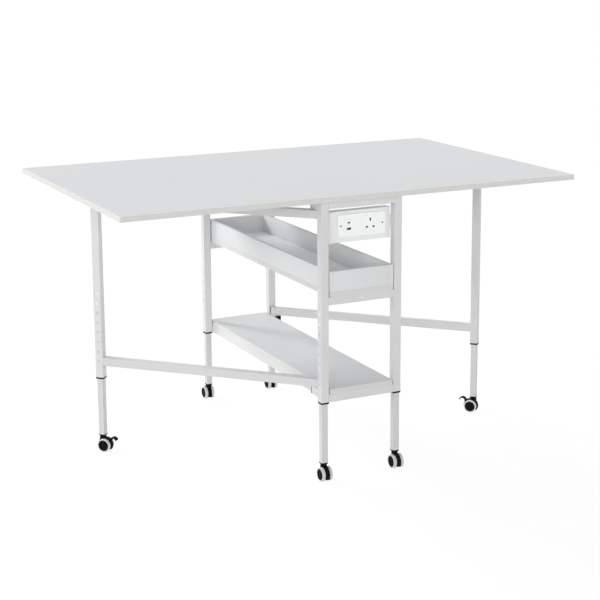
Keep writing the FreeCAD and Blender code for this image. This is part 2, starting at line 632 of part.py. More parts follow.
def build_caster(name, where, heading, braked):
    """A twin-wheel caster about its swivel axis, trailing towards its own +X."""
    label = f"caster_{name}"
    web = cylinder(f"{label}_web", "web_radius", ("caster_trail", f"-{HALF_WEB}", "wheel_radius"),
                   "web_width", "y")
    boss = cylinder(f"{label}_boss", "boss_radius", ("0", "0", WHEEL_TOP),
                    f"foot_bottom_z - boss_gap - {WHEEL_TOP}")
    neck = box(f"{label}_neck", ("-boss_radius", f"-{HALF_WEB}", "wheel_radius + neck_rise"),
               ("boss_radius", HALF_WEB, f"{WHEEL_TOP} + past"))
    stem = cylinder(f"{label}_stem", "stem_radius", ("0", "0", "foot_bottom_z - stem_root"), "stem_reach")
    pieces = [web, boss, neck, stem]
    removals = [box(f"{label}_floor_trim", ("-beyond", "-web_width", "-beyond"),
                    ("beyond", "web_width", "web_floor_gap")),
                cylinder(f"{label}_axle_bore", "axle_radius + running_gap",
                         ("caster_trail", "-web_width", "wheel_radius"), "2 * web_width", "y")]
    if braked:
        pieces.append(cylinder(f"{label}_eye", "lever_eye_radius", ("lever_x", f"-{HALF_WEB}", "lever_z"),
                               "web_width", "y"))
        pieces.append(box(f"{label}_eye_arm",
                          ("lever_x - eye_arm_reach", f"-{HALF_WEB}", "lever_z - lever_eye_radius"),
                          ("lever_x", HALF_WEB, "lever_z + eye_arm_rise")))
        removals.append(cylinder(f"{label}_eye_bore", "lever_pin_radius + running_gap",
                                 ("lever_x", "-web_width", "lever_z"), "2 * web_width", "y"))
    body = cut(label, fuse(f"{label}_solid", pieces), fuse(f"{label}_removals", removals))
    node(place(body, where, heading), f"{label}_body")
    node(place(caster_wheels(label), where, heading), f"{label}_wheels")
    if braked:
        node(place(brake_lever(label), where, heading), f"{label}_lever")


def caster_wheels(label):
    """Both wheels on one axle: black hubs joined by the axle, and a grey tyre on each."""
    hub_radius = "wheel_radius - tyre_thick"
    inner_face = "wheel_spacing / 2 - wheel_width / 2"
    outer_face = "(wheel_spacing / 2 + wheel_width / 2)"
    hubs = [cylinder(f"{label}_axle", "axle_radius", ("caster_trail", "-wheel_spacing / 2", "wheel_radius"),
                     "wheel_spacing", "y")]
    tyres = []
    for side, word in zip(SIDES, ("a", "b")):
        start = ordered(side, inner_face, outer_face)[0]
        disc = cylinder(f"{label}_hub_{word}", hub_radius, ("caster_trail", start, "wheel_radius"),
                        "wheel_width", "y")
        dish_start = ordered(side, f"{outer_face} - hub_recess", f"{outer_face} + past")[0]
        dish = cylinder(f"{label}_dish_{word}", "hub_cap_radius",
                        ("caster_trail", dish_start, "wheel_radius"), "hub_recess + past", "y")
        hubs.append(cut(f"{label}_dished_hub_{word}", disc, dish))
        rubber = cylinder(f"{label}_rubber_{word}", "wheel_radius",
                          ("caster_trail", f"{start} + tyre_inset", "wheel_radius"),
                          "wheel_width - 2 * tyre_inset", "y")
        core = cylinder(f"{label}_core_{word}", hub_radius, ("caster_trail", start, "wheel_radius"),
                        "wheel_width", "y")
        tyres.append(cut(f"{label}_tyre_{word}", rubber, core))
    return group(f"{label}_wheels", [fuse(f"{label}_hubs", hubs)] + tyres)


def brake_lever(label):
    """A foot lever with an arched pad, slotted round the caster's eye, and a pin that runs through both."""
    start = ("pad_x", "-lever_width / 2", "pad_z")
    arch = cut(f"{label}_arch", cylinder(f"{label}_arch_outer", "pad_radius", start, "lever_width", "y"),
               cylinder(f"{label}_arch_inner", "pad_radius - pad_thick",
                        ("pad_x", "-lever_width / 2 - past", "pad_z"), "lever_width + 2 * past", "y"))
    zone = box(f"{label}_pad_zone", ("0", "-lever_width", "lever_z"), ("pad_end_x", "lever_width", "beyond"))
    pieces = [common(f"{label}_pad", arch, zone)]
    for side, word in zip(SIDES, ("a", "b")):
        y_low = ordered(side, f"{HALF_WEB} + cheek_gap", f"{HALF_WEB} + cheek_width")[0]
        pieces.append(cylinder(f"{label}_cheek_{word}", "cheek_radius", ("lever_x", y_low, "lever_z"),
                               "cheek_width - cheek_gap", "y"))
    slot_space = cylinder(f"{label}_eye_space", "lever_eye_radius + eye_clearance",
                          ("lever_x", f"-{HALF_WEB} - cheek_gap", "lever_z"),
                          "web_width + 2 * cheek_gap", "y")
    pin = cylinder(f"{label}_lever_pin", "lever_pin_radius",
                   ("lever_x", f"-{HALF_WEB} - cheek_width", "lever_z"),
                   "web_width + 2 * cheek_width", "y")
    slotted = cut(f"{label}_slotted_pad", fuse(f"{label}_pad_and_cheeks", pieces), slot_space)
    return fuse(f"{label}_lever", [slotted, pin])


def build_feet():
    for name, sx, sy in CENTRE_LEGS:
        where = (f"{sx} * leg_x", f"{sy} * leg_y", "0")
        build_foot(name, where, "0")
        build_caster(name, where, "near_heading" if sy < 0 else "far_heading", False)
    for word, side, half_turn in GATES:
        where = (f"{side} * (leg_x + gate_radius * sin(gate_open * 1 deg))",
                 f"{side} * ({PIVOT_Y} - gate_radius * cos(gate_open * 1 deg))", "0")
        build_foot(f"gate_{word}", where, f"gate_open + {half_turn}")
        build_caster(f"gate_{word}", where, f"{word}_heading", True)


def check_and_export():
    doc.recompute()
    for thing in doc.Objects:
        if "Invalid" in thing.State or "Error" in thing.State:
            raise RuntimeError(f"{thing.Name} failed: {thing.State}")
    for thing in nodes:
        if thing.Shape.isNull() or not thing.Shape.isValid():
            raise RuntimeError(f"{thing.Label} has no valid shape")
    os.makedirs("parts", exist_ok=True)
    for thing in nodes:
        thing.Shape.exportStep(f"parts/{thing.Label}.step")
        extent = thing.Shape.BoundBox
        print(f"{thing.Label}: {len(thing.Shape.Solids)} solids, z {extent.ZMin:.1f} to {extent.ZMax:.1f}")
    print(len(nodes), "nodes")


fill_sheet()
build_top()
build_hinges()
build_legs()
build_rails()
build_rail_screws()
build_tray()
build_shelf()
build_pivots()
build_housing()
build_faceplate()
for gate_word, gate_side, gate_half_turn in GATES:
    build_gate(gate_word, gate_side, gate_half_turn)
build_feet()
check_and_export()
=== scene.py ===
"""Looks of the folding sewing cutting table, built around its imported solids.

Everything is in metres in the part's own frame: origin on the floor under the
middle of the table top, X along the length, Y across the depth, Z up. Sizes of
the small pieces are written in millimetres and scaled by MM.
"""
import json
import math

import bmesh
import bpy
from mathutils import Matrix, Vector


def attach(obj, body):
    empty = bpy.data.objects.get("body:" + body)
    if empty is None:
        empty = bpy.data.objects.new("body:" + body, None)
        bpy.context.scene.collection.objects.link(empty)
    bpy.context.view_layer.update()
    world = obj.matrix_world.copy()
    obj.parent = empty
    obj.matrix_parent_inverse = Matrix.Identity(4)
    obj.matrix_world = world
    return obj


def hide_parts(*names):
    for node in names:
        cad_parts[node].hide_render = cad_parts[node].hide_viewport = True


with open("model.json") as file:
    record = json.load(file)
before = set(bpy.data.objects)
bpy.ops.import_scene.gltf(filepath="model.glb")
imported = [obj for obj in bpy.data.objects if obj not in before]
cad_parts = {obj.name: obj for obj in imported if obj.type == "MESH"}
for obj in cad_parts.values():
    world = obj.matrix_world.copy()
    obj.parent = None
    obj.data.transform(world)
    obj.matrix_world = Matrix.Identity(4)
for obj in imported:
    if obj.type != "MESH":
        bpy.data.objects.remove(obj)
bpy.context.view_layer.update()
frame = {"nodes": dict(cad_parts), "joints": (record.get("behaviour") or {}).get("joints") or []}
nodes = frame["nodes"]
joints = {joint["name"]: joint for joint in frame["joints"]}

MM = 0.001
CASTERS = ("near_left", "near_right", "far_left", "far_right", "gate_left", "gate_right")
# The direction of each open gate, turned from +X about Z.
GATE_TURNS = {"left": math.radians(44.2), "right": math.radians(224.2)}


# ---------------------------------------------------------------- camera and light

IMAGE_SIZE = 600
FOCAL_PIXELS = 1491.61
OPTICAL_CENTRE = (316.84, 230.00)
CAMERA_PLACE = (-2.05462, -4.23301, 1.63209)
CAMERA_AZIMUTH = math.radians(-26.786)
CAMERA_ELEVATION = math.radians(11.497)
CAMERA_ROLL = math.radians(-0.209)
SENSOR_WIDTH = 36
VIEW_DEPTH = 200


def towards(azimuth, elevation):
    """Direction from the object to a place seen at that azimuth and elevation."""
    flat = math.cos(elevation)
    return Vector((math.sin(azimuth) * flat, -math.cos(azimuth) * flat, math.sin(elevation)))


def make_camera():
    data = bpy.data.cameras.new("camera")
    data.sensor_width = SENSOR_WIDTH
    data.lens = FOCAL_PIXELS * SENSOR_WIDTH / IMAGE_SIZE
    data.shift_x = (IMAGE_SIZE / 2 - OPTICAL_CENTRE[0]) / IMAGE_SIZE
    data.shift_y = (OPTICAL_CENTRE[1] - IMAGE_SIZE / 2) / IMAGE_SIZE
    data.clip_end = VIEW_DEPTH
    camera = bpy.data.objects.new("camera", data)
    back = towards(CAMERA_AZIMUTH, CAMERA_ELEVATION)
    right = Vector((math.cos(CAMERA_AZIMUTH), math.sin(CAMERA_AZIMUTH), 0))
    up = back.cross(right)
    turn = Matrix((right, up, back)).transposed().to_4x4()
    camera.matrix_world = (Matrix.Translation(CAMERA_PLACE) @ turn
                           @ Matrix.Rotation(CAMERA_ROLL, 4, "Z"))
    bpy.context.scene.collection.objects.link(camera)
    bpy.context.scene.camera = camera


def make_sun(name, azimuth, elevation, strength, softness, shadow=True):
    """A lamp seen from the object at that azimuth and elevation, in degrees.

    At strength 1 it lights a surface that faces it to the surface's own colour."""
    data = bpy.data.lights.new(name, "SUN")
    data.energy = strength * math.pi
    data.use_shadow = shadow
    data.angle = math.radians(softness)
    lamp = bpy.data.objects.new(name, data)
    direction = towards(math.radians(azimuth), math.radians(elevation))
    lamp.rotation_euler = direction.to_track_quat("Z", "Y").to_euler()
    bpy.context.scene.collection.objects.link(lamp)


# ---------------------------------------------------------------- materials

WHITE = (1, 1, 1, 1)


def screen(*values):
    """A colour given as 0-255 screen values, as the linear numbers that shaders take."""
    shares = [value / 255 for value in values]
    linear = [s / 12.92 if s <= 0.04045 else ((s + 0.055) / 1.055) ** 2.4 for s in shares]
    return (*linear, 1)


def dimmed(colour, share):
    """That share of a colour's light."""
    return (*(channel * share for channel in colour[:3]), 1)


def add_node(tree, kind, settings=None, **inputs):
    """A shader or geometry node; a socket given as an input is linked, a value is set."""
    node = tree.nodes.new(kind)
    for key, value in (settings or {}).items():
        setattr(node, key, value)
    for name, value in inputs.items():
        key = name.replace("_", " ")
        socket = node.inputs[int(key[1:]) if key[1:].isdigit() else key]
        if isinstance(value, bpy.types.NodeSocket):
            tree.links.new(value, socket)
        else:
            socket.default_value = value
    return node


class Look:
    """A procedural material in the making. Its textures follow the object's own space."""

    def __init__(self, name):
        self.material = bpy.data.materials.new(name)
        self.material.use_nodes = True
        self.tree = self.material.node_tree
        self.shader = self.tree.nodes["Principled BSDF"]
        self.coordinates = self.add("ShaderNodeTexCoord")
        self.place = self.coordinates.outputs["Object"]
        self.bump_normal = None

    def add(self, kind, settings=None, **inputs):
        return add_node(self.tree, kind, settings, **inputs)

    def noise(self, scale, detail=2.0, stretch=(1, 1, 1)):
        place = self.add("ShaderNodeMapping", Vector=self.place, Scale=stretch).outputs[0]
        return self.add("ShaderNodeTexNoise", Vector=place, Scale=scale, Detail=detail).outputs[0]

    def spread(self, value, low, high, from_low=0.3, from_high=0.7):
        """A texture value stretched over a new range."""
        return self.add("ShaderNodeMapRange", Value=value, From_Min=from_low, From_Max=from_high,
                        To_Min=low, To_Max=high).outputs[0]

    def mix(self, share, low, high):
        """Colour between two colours."""
        node = self.add("ShaderNodeMix", {"data_type": "RGBA"}, _0=share, _6=low, _7=high)
        return node.outputs[2]

    def colour(self, value):
        self.tree.links.new(value, self.shader.inputs["Base Color"])

    def roughness(self, value):
        self.tree.links.new(value, self.shader.inputs["Roughness"])

    def bump(self, height, depth, strength=1.0):
        """Adds relief of that depth in metres on top of what is already there."""
        inputs = {"Height": height, "Distance": depth, "Strength": strength}
        if self.bump_normal is not None:
            inputs["Normal"] = self.bump_normal
        self.bump_normal = self.add("ShaderNodeBump", **inputs).outputs[0]
        self.tree.links.new(self.bump_normal, self.shader.inputs["Normal"])

    def set(self, **values):
        for name, value in values.items():
            self.shader.inputs[name.replace("_", " ")].default_value = value

    def shade(self, base, scale, spread, detail=3):
        """Base colour with a slight cloudiness, darker by spread on average."""
        share = self.spread(self.noise(scale, detail), 0, 1)
        return self.mix(share, dimmed(base, 1 - 2 * spread), base)


def board_look(name, base, band, upright_faces=False):
    """Melamine-faced board: a fine pearl texture on the faces and a plain band on the edges.

    The faces lie flat, and with upright_faces they stand."""
    look = Look(name)
    level = look.add("ShaderNodeSeparateXYZ", _0=look.coordinates.outputs["Normal"]).outputs[2]
    tilt = look.add("ShaderNodeMath", {"operation": "ABSOLUTE"}, _0=level).outputs[0]
    on_upright, on_level = (0, 1) if upright_faces else (1, 0)
    banded = look.spread(tilt, on_upright, on_level, 0.45, 0.55)
    face = look.shade(base, 3, 0.008)
    grain = look.spread(look.noise(60, 4, (1, 1, 14)), 0, 1)
    edge = look.mix(grain, dimmed(band, 0.965), band)
    look.colour(look.mix(banded, face, edge))
    look.roughness(look.spread(look.noise(35, 3), 0.5, 0.6))
    look.bump(look.noise(1500, 2), 0.00004, 0.35)
    look.bump(look.noise(9, 2), 0.0004, 0.12)
    look.set(Specular_IOR_Level=0.22)
    return look.material


def paint_look(name, base, roughness=(0.34, 0.44)):
    """Powder coat: an even colour with orange peel."""
    look = Look(name)
    look.colour(look.shade(base, 11, 0.012))
    look.roughness(look.spread(look.noise(140, 3), *roughness))
    look.bump(look.noise(620, 2), 0.00007, 0.4)
    look.bump(look.noise(2600, 1), 0.00002, 0.3)
    look.set(Specular_IOR_Level=0.45)
    return look.material


def moulded_look(name, base, roughness=(0.4, 0.5), grain=2400, depth=0.00003, spread=0.02,
                 gloss=0.5):
    """Moulded plastic with a fine spark-eroded grain."""
    look = Look(name)
    look.colour(look.shade(base, 30, spread))
    look.roughness(look.spread(look.noise(260, 3), *roughness))
    look.bump(look.noise(grain, 3), depth, 0.5)
    look.set(Specular_IOR_Level=gloss)
    return look.material


def slotted_look(name, base, slot_shade_colour, front):
    """Gloss moulding with painted shade in its slots: near black behind its front face at Y =
    front.
    """
    look = Look(name)
    y = look.add("ShaderNodeSeparateXYZ", _0=look.place).outputs[1]
    share = look.spread(y, 0, 1, front + 0.0004, front + 0.0009)
    look.colour(look.mix(share, look.shade(base, 30, 0.006), slot_shade_colour))
    look.roughness(look.spread(look.noise(260, 3), 0.2, 0.3))
    look.bump(look.noise(1800, 3), 0.00001, 0.5)
    return look.material


def tyre_look(name, base):
    """Soft grey tread with dust in its texture."""
    look = Look(name)
    dusty = look.spread(look.noise(420, 4), 0, 1, 0.42, 0.66)
    look.colour(look.mix(dusty, base, dimmed(base, 0.86)))
    look.roughness(look.spread(look.noise(300, 3), 0.55, 0.7))
    look.bump(look.noise(900, 3), 0.00012, 0.5)
    look.set(Specular_IOR_Level=0.35)
    return look.material


def metal_look(name, base):
    """Zinc plating with a soft spangle and drawn scratches."""
    look = Look(name)
    cells = look.add("ShaderNodeTexVoronoi", Vector=look.place, Scale=260).outputs["Color"]
    share = look.add("ShaderNodeSeparateXYZ", _0=cells).outputs[0]
    look.colour(look.mix(share, base, dimmed(base, 0.82)))
    look.roughness(look.spread(look.noise(90, 3, (1, 12, 1)), 0.28, 0.45))
    look.bump(look.noise(500, 2, (1, 20, 1)), 0.00002, 0.4)
    look.set(Metallic=1.0)
    return look.material


# Where the fronts of the outlet and the charger lie.
OUTLET_FACE_Y = -0.4369


def make_materials():
    band = screen(215, 216, 211)
    socket_white = screen(249, 250, 250)
    return {
        "flat_board": board_look("flat_board", screen(222, 223, 225), band),
        # A darker copy of the top's laminate for the shelf: painted shade for the lower light under
        # the tray.
        "board_with_painted_shade": board_look("board_with_painted_shade", screen(214, 215, 217), band),
        "upright_board": board_look("upright_board", screen(221, 222, 223), screen(216, 217, 217),
                                    upright_faces=True),
        "paint": paint_look("white_paint", screen(216, 216, 217)),
        # A darker copy of the same white paint: painted shade for tubes that get less light, namely
        # the right gate's post, the gate rails and the foot tubes.
        "painted_shade_paint": paint_look("white_paint_painted_shade", screen(209, 209, 210)),
        "screw": paint_look("white_screw", screen(236, 237, 237), (0.22, 0.32)),
        "housing": moulded_look("housing_plastic", screen(235, 236, 236)),
        "white_plastic": moulded_look("white_plastic", socket_white, (0.2, 0.3), grain=1800,
                                      depth=0.00001, spread=0.006),
        # The slots of the outlet and the charger get painted shade, near black behind their front
        # faces.
        "slotted": slotted_look("slotted_plastic", socket_white, screen(12, 12, 13), OUTLET_FACE_Y),
        "dull_screw": paint_look("dull_screw", screen(122, 122, 124)),
        "port_tongue": moulded_look("port_tongue", screen(226, 226, 224), (0.3, 0.4)),
        "contact": metal_look("contact_metal", screen(222, 196, 130)),
        "black_plastic": moulded_look("black_plastic", screen(8, 8, 9), (0.5, 0.6), grain=1500,
                                      depth=0.00005, spread=0.08, gloss=0.08),
        "hub": moulded_look("hub_plastic", screen(10, 10, 11), (0.45, 0.55), grain=1500,
                            depth=0.00004, spread=0.08, gloss=0.1),
        "tyre": tyre_look("grey_tyre", screen(214, 215, 216)),
        "zinc": metal_look("zinc_plate", screen(205, 206, 208)),
        "nylon": moulded_look("nylon", screen(228, 227, 222)),
    }


# ---------------------------------------------------------------- softened edges of the solids

JOIN_DISTANCE = 0.00001
# The least turn of an outer edge that gets rounded, and of an edge that stays sharp, in radians.
ROUNDED_TURN = 0.9
SHARP_TURN = 0.6


def edge_rule(shortest):
    """A node group that joins a solid's faces and marks its outer edges longer than shortest."""
    tree = bpy.data.node_groups.new("edge_rule", "GeometryNodeTree")
    tree.interface.new_socket("Geometry", in_out="INPUT", socket_type="NodeSocketGeometry")
    tree.interface.new_socket("Geometry", in_out="OUTPUT", socket_type="NodeSocketGeometry")

    def math_node(operation, *values):
        inputs = {f"_{number}": value for number, value in enumerate(values)}
        return add_node(tree, "ShaderNodeMath", {"operation": operation}, **inputs).outputs[0]

    solid = tree.nodes.new("NodeGroupInput").outputs[0]
    solid = add_node(tree, "GeometryNodeMergeByDistance", _0=solid,
                     Distance=JOIN_DISTANCE).outputs[0]
    solid = add_node(tree, "GeometryNodeRemoveAttribute", _0=solid,
                     Name="custom_normal").outputs[0]
    angles = tree.nodes.new("GeometryNodeInputMeshEdgeAngle").outputs
    ends = tree.nodes.new("GeometryNodeInputMeshEdgeVertices").outputs
    span = add_node(tree, "ShaderNodeVectorMath", {"operation": "SUBTRACT"},
                    _0=ends["Position 2"], _1=ends["Position 1"]).outputs[0]
    length = add_node(tree, "ShaderNodeVectorMath", {"operation": "LENGTH"},
                      _0=span).outputs["Value"]
    outer = math_node("GREATER_THAN", angles["Signed Angle"], ROUNDED_TURN)
    long_enough = math_node("GREATER_THAN", length, shortest)
    weight = math_node("MULTIPLY", outer, long_enough)
    solid = add_node(tree, "GeometryNodeStoreNamedAttribute",
                     {"data_type": "FLOAT", "domain": "EDGE"},
                     _0=solid, Name="bevel_weight_edge", Value=weight).outputs[0]
    solid = add_node(tree, "GeometryNodeSetShadeSmooth", {"domain": "FACE"}, _0=solid).outputs[0]
    sharp = add_node(tree, "FunctionNodeCompare",
                     {"data_type": "FLOAT", "operation": "GREATER_THAN"},
                     A=angles["Unsigned Angle"], B=SHARP_TURN).outputs[0]
    solid = add_node(tree, "GeometryNodeSetShadeSmooth", {"domain": "EDGE"},
                     _0=solid, Selection=sharp, Shade_Smooth=False).outputs[0]
    tree.links.new(solid, tree.nodes.new("NodeGroupOutput").inputs[0])
    return tree


RULES = {}


def soften(names, radius, shortest=0.03):
    """Round the outer edges of CAD nodes that are longer than shortest, which is in metres.

    The radius is in millimetres."""
    if shortest not in RULES:
        RULES[shortest] = edge_rule(shortest)
    for name in names:
        rule = nodes[name].modifiers.new("edges", "NODES")
        rule.node_group = RULES[shortest]
        bevel = nodes[name].modifiers.new("softening", "BEVEL")
        bevel.width = radius * MM
        bevel.segments = 3
        bevel.limit_method = "WEIGHT"
        bevel.use_clamp_overlap = False
        bevel.harden_normals = True


def dress(names, material):
    """Give CAD nodes a material."""
    for name in names:
        slots = nodes[name].data.materials
        slots.clear()
        slots.append(material)


# ---------------------------------------------------------------- pieces of their own

def lathe(points, steps=64, closed=False):
    """A turned shape about the Y axis from (radius, distance along Y) pairs in millimetres."""
    shape = bmesh.new()
    rings = []
    for radius, along in points:
        count = steps if radius else 1
        angles = [2 * math.pi * number / count for number in range(count)]
        rings.append([shape.verts.new((radius * MM * math.cos(angle), along * MM,
                                       radius * MM * math.sin(angle))) for angle in angles])
    following = rings[1:] + rings[:1] if closed else rings[1:]
    for ring, after in zip(rings, following):
        for number in range(steps):
            corners = [ring[number % len(ring)], ring[(number + 1) % len(ring)],
                       after[(number + 1) % len(after)], after[number % len(after)]]
            corners = list(dict.fromkeys(corners))
            if len(corners) > 2:
                shape.faces.new(corners)
    bmesh.ops.recalc_face_normals(shape, faces=shape.faces)
    return shape


def block(low, high, bevel=0.0):
    """A block between two corners, with its edges rounded by bevel, in millimetres."""
    shape = bmesh.new()
    bmesh.ops.create_cube(shape, size=1)
    sizes = [(top - bottom) * MM for bottom, top in zip(low, high)]
    middle = [(top + bottom) / 2 * MM for bottom, top in zip(low, high)]
    shape.transform(Matrix.Translation(middle) @ Matrix.Diagonal((*sizes, 1)))
    if bevel:
        bmesh.ops.bevel(shape, geom=shape.edges[:], offset=bevel * MM, segments=2,
                        profile=0.5, affect="EDGES")
    return shape


def joined(shapes, places=None):
    """One shape out of several, each moved by its matrix."""
    whole = bmesh.new()
    for number, shape in enumerate(shapes):
        mesh = bpy.data.meshes.new("part")
        shape.to_mesh(mesh)
        if places:
            mesh.transform(places[number])
        whole.from_mesh(mesh)
        bpy.data.meshes.remove(mesh)
    return whole


# Faces that turn further than this from each other meet in a sharp edge.
SHARP_ANGLE = math.radians(35)


def piece(name, shape, material, body, replaces=()):
    """A finished piece that rides on a body."""
    mesh = bpy.data.meshes.new(name)
    shape.to_mesh(mesh)
    mesh.materials.append(material)
    mesh.polygons.foreach_set("use_smooth", [True] * len(mesh.polygons))
    mesh.set_sharp_from_angle(angle=SHARP_ANGLE)
    thing = bpy.data.objects.new(name, mesh)
    bpy.context.scene.collection.objects.link(thing)
    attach(thing, body)
    if replaces:
        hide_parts(*replaces)


def upright_on(axis):
    """The turn that lays the Y axis of a turned shape along an axis."""
    return Vector((0, 1, 0)).rotation_difference(Vector(axis)).to_matrix().to_4x4()


# Wheels: profiles are pairs of radius and distance along the axle from the caster's middle.
HUB_RADIUS = 17.5
WHEEL_INNER = 6.4
WHEEL_OUTER = 17.3
DISH_FLOOR = WHEEL_OUTER - 2.0
HUB_PROFILE = (
    (0, WHEEL_INNER), (HUB_RADIUS, WHEEL_INNER), (HUB_RADIUS, 16.7),
    (HUB_RADIUS - 0.6, WHEEL_OUTER), (14.4, WHEEL_OUTER), (13.4, 16.7), (13.1, DISH_FLOOR),
    (9.6, DISH_FLOOR), (9.3, 16.0), (8.3, 16.0), (8.0, DISH_FLOOR), (4.9, DISH_FLOOR),
    (4.7, 16.5), (4.0, 17.0), (0, 17.2))
TYRE_PROFILE = (
    (HUB_RADIUS, 6.9), (19.4, 6.7), (20.5, 7.0), (21.1, 7.7), (21.4, 8.6), (21.5, 9.8),
    (21.5, 11.2), (21.3, 11.5), (21.3, 12.0), (21.5, 12.3), (21.5, 13.8), (21.4, 15.1),
    (21.1, 16.0), (20.5, 16.7), (19.4, 17.0), (HUB_RADIUS, 16.8))
SPOKES = 5
SPOKE_CORNERS = ((4.4, DISH_FLOOR - 0.4, -0.9), (13.2, DISH_FLOOR + 1.1, 0.9))
SPOKE_EDGE = 0.3
AXLE_RADIUS = 3
AXLE_HALF = 7


def make_wheels(name, looks):
    """Both wheels of a caster: black hubs with spokes, and grey tyres with a parting groove."""
    joint = joints[f"caster_{name}_roll"]
    spot = Matrix.Translation(joint["pos_m"]) @ upright_on(joint["axis"])
    hubs = [lathe(((0, -AXLE_HALF), (AXLE_RADIUS, -AXLE_HALF), (AXLE_RADIUS, AXLE_HALF),
                   (0, AXLE_HALF)), 24)]
    places = [spot]
    tyres = []
    tyre_places = []
    for turn in (0, math.pi):
        flip = spot @ Matrix.Rotation(turn, 4, "X")
        hubs.append(lathe(HUB_PROFILE))
        places.append(flip)
        for number in range(SPOKES):
            hubs.append(block(*SPOKE_CORNERS, SPOKE_EDGE))
            places.append(flip @ Matrix.Rotation(2 * math.pi * number / SPOKES, 4, "Y"))
        tyres.append(lathe(TYRE_PROFILE, closed=True))
        tyre_places.append(flip)
    body = f"wheels_{name}"
    piece(f"caster_{name}_hubs", joined(hubs, places), looks["hub"], body,
          [f"caster_{name}_wheels"])
    piece(f"caster_{name}_tyres", joined(tyres, tyre_places), looks["tyre"], body)


# Tray: where the outer faces of its side and end boards lie, and how thick the boards are.
TRAY_SIDE = 107.0
TRAY_END = 457.5
TRAY_WALL = 12.0
TRAY_LEVELS = (581.5, 642.5)
TRAY_EDGE = 0.8


def make_tray_walls(looks):
    """Two side boards that run the full length, and two end boards between them."""
    low, high = TRAY_LEVELS
    inner = TRAY_SIDE - TRAY_WALL
    boards = []
    for side in (-1, 1):
        near, far = sorted((side * TRAY_SIDE, side * inner))
        boards.append(block((near, -TRAY_END, low), (far, TRAY_END, high), TRAY_EDGE))
        near, far = sorted((side * TRAY_END, side * (TRAY_END - TRAY_WALL)))
        boards.append(block((-inner, near, low), (inner, far, high), TRAY_EDGE))
    piece("tray_wall_boards", joined(boards), looks["upright_board"], "frame",
          ["tray_walls"])


def separate_boxes(name, turn=0.0):
    """The lowest and highest corner of each separate solid of a CAD node, in a frame turned
    about Z."""
    source = bmesh.new()
    source.from_mesh(nodes[name].data)
    bmesh.ops.remove_doubles(source, verts=source.verts, dist=JOIN_DISTANCE)
    source.transform(Matrix.Rotation(-turn, 4, "Z"))
    left = set(source.verts)
    boxes = []
    while left:
        reached = [left.pop()]
        for vertex in reached:
            for edge in vertex.link_edges:
                other = edge.other_vert(vertex)
                if other in left:
                    left.remove(other)
                    reached.append(other)
        low = Vector([min(vertex.co[axis] for vertex in reached) for axis in range(3)])
        high = Vector([max(vertex.co[axis] for vertex in reached) for axis in range(3)])
        boxes.append((low, high))
    source.free()
    return sorted(boxes, key=lambda corners: tuple(round(value, 4) for value in corners[0]))


# A screw head's outline as shares of its radius and thickness, and its cross recess as
# shares of the same: half the length and half the width of an arm, and where it starts.
HEAD_OUTLINE = ((0, 1), (0.3, 0.985), (0.6, 0.88), (0.82, 0.66), (0.95, 0.36), (1, 0.08), (1, 0))
RECESS_LENGTH = 0.5
RECESS_WIDTH = 0.13
RECESS_FLOOR = 0.35


def screw_shape(radius, thick, shank=None):
    """A domed head with a cross recess, standing on Y = 0 and looking along +Y.

    shank is the radius and length of the shank behind it; sizes are in millimetres."""
    points = [(across * radius, up * thick) for across, up in HEAD_OUTLINE]
    if shank:
        width, length = shank
        points += [(width, 0), (width, -length), (0, -length)]
    else:
        points += [(0, 0)]
    head = bpy.data.meshes.new("head")
    lathe(points, 48).to_mesh(head)
    arm = RECESS_LENGTH * radius
    half = RECESS_WIDTH * radius
    floor = RECESS_FLOOR * thick
    cutters = [block((-arm, floor, -half), (arm, 2 * thick, half)),
               block((-half, floor, -arm), (half, 2 * thick, arm))]
    cross = bpy.data.meshes.new("cross")
    joined(cutters).to_mesh(cross)
    things = [bpy.data.objects.new(mesh.name, mesh) for mesh in (head, cross)]
    for thing in things:
        bpy.context.scene.collection.objects.link(thing)
    recess = things[0].modifiers.new("recess", "BOOLEAN")
    recess.object = things[1]
    recess.operation = "DIFFERENCE"
    recess.solver = "EXACT"
    recess.use_self = True
    depsgraph = bpy.context.evaluated_depsgraph_get()
    result = bmesh.new()
    result.from_object(things[0], depsgraph)
    for thing in things:
        bpy.data.objects.remove(thing)
    return result


# Radius and thickness of the heads, and radius and length of their shanks, in millimetres.
HEIGHT_SCREW = (4.6, 1.6, (2.8, 1.5))
RAIL_SCREW = (3.6, 1.6)
FACEPLATE_SCREW = (2.8, 0.8)
# How far the recess of the first screw is turned, and how much further each next one, in radians.
FIRST_TURN = 0.5
NEXT_TURN = 0.9


def make_screws(name, body, size, look, turn=0.0, along=0, face=None):
    """Screws with cross recesses in place of a node of plain heads.

    size is what screw_shape takes. along is the axis that they look along, in a frame
    turned about Z, outwards from the middle or towards face."""
    template = screw_shape(*size)
    thick = size[1]
    spin = Matrix.Rotation(turn, 4, "Z")
    places = []
    for number, (low, high) in enumerate(separate_boxes(name, turn)):
        middle = (low + high) / 2
        side = face or (1 if middle[along] > 0 else -1)
        outer = (high if side > 0 else low)[along]
        middle[along] = outer - side * thick * MM
        outward = Vector((0, 0, 0))
        outward[along] = side
        tilt = Matrix.Rotation(FIRST_TURN + NEXT_TURN * number, 4, "Y")
        places.append(spin @ Matrix.Translation(middle) @ upright_on(outward) @ tilt)
    whole = joined([template] * len(places), places)
    piece(f"{name}_heads", whole, look, body, [name])


HINGE_SCREW = (3.0, 0.5)
KNUCKLE_X = 0.17825
PLATE_UNDERSIDE = 0.8495
# Places of the screws in a plate: share of the way out from the knuckle, and millimetres along Y.
HINGE_SCREW_PLACES = ((0.62, -20), (0.62, 20), (0.8, 0))


